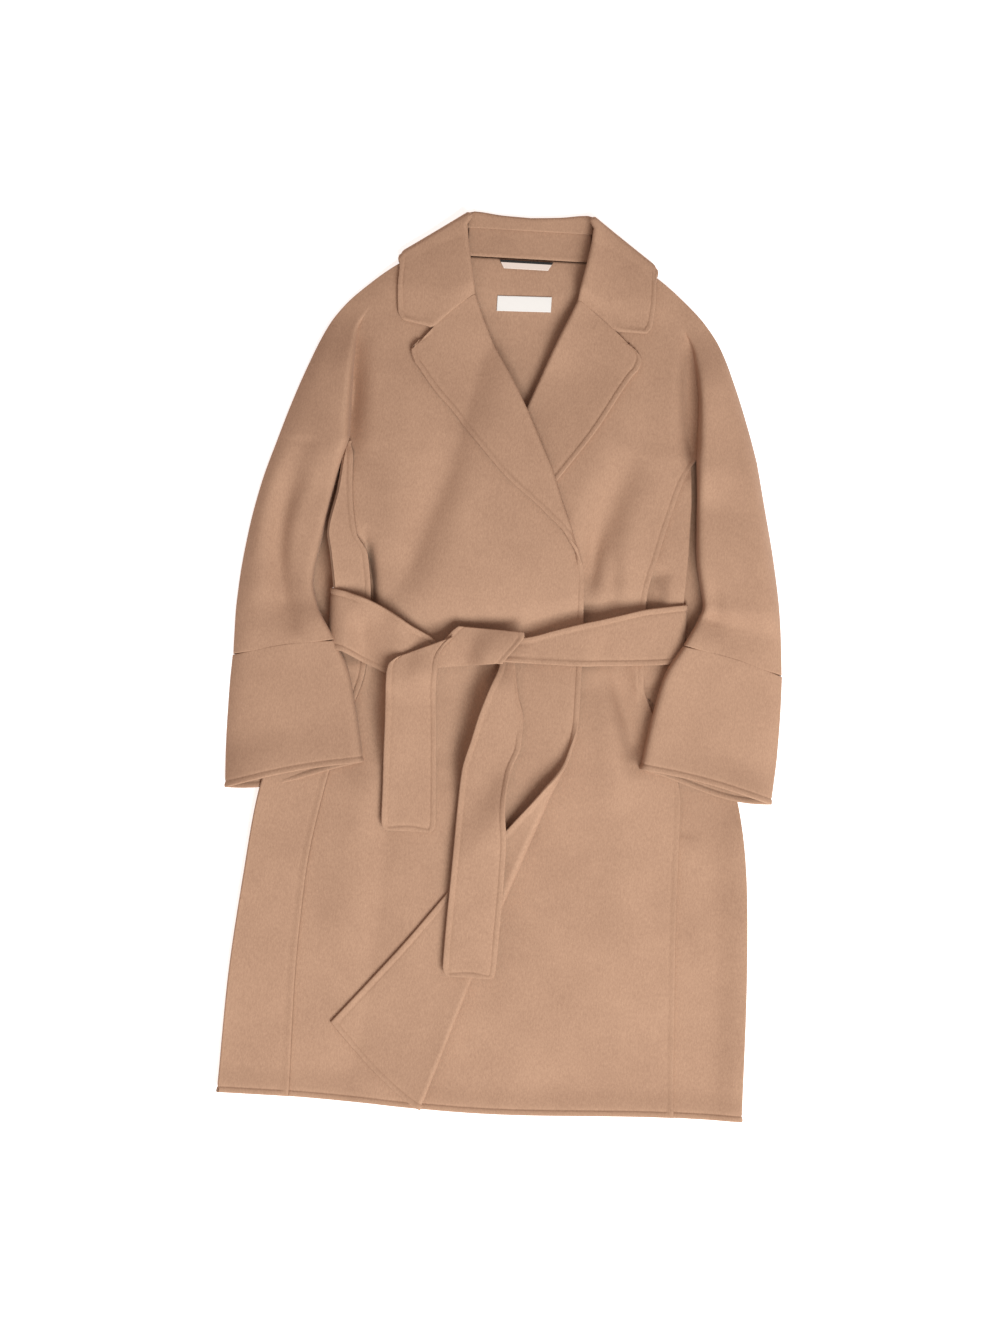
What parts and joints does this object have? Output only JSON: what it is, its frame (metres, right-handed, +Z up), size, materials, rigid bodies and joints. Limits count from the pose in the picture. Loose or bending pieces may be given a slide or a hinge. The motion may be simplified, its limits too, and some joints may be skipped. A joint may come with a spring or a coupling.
{
  "type": "belted long coat",
  "caption": "Long wrap coat of double-faced wool laid flat on its back, with a notched collar, kimono sleeves, wide cuffs, a knotted belt and a front corner folded back.",
  "frame": {"origin": "bottom centre of the coat's box, on the surface it lies on", "axes": "+Y from the hem to the collar, +Z up out of the coat's front, +X to the wearer's left"},
  "size_m": [0.6354, 1.0326, 0.0342],
  "materials": {
    "wool": "napped double-faced wool",
    "ribbon": "smooth woven ribbon",
    "label_cloth": "smooth woven satin"
  },
  "bodies": {
    "root": {"back": "wool", "front_right": "wool", "front_left": "wool", "side_panel_right": "wool", "side_panel_left": "wool", "cuff_right": "wool", "cuff_left": "wool", "collar": "wool", "collar_stand": "wool", "belt_round": "wool", "belt_knot": "wool", "belt_tail_short": "wool", "belt_tail_long": "wool", "hanger_loop": "ribbon", "label": "label_cloth"}
  },
  "joints": []
}
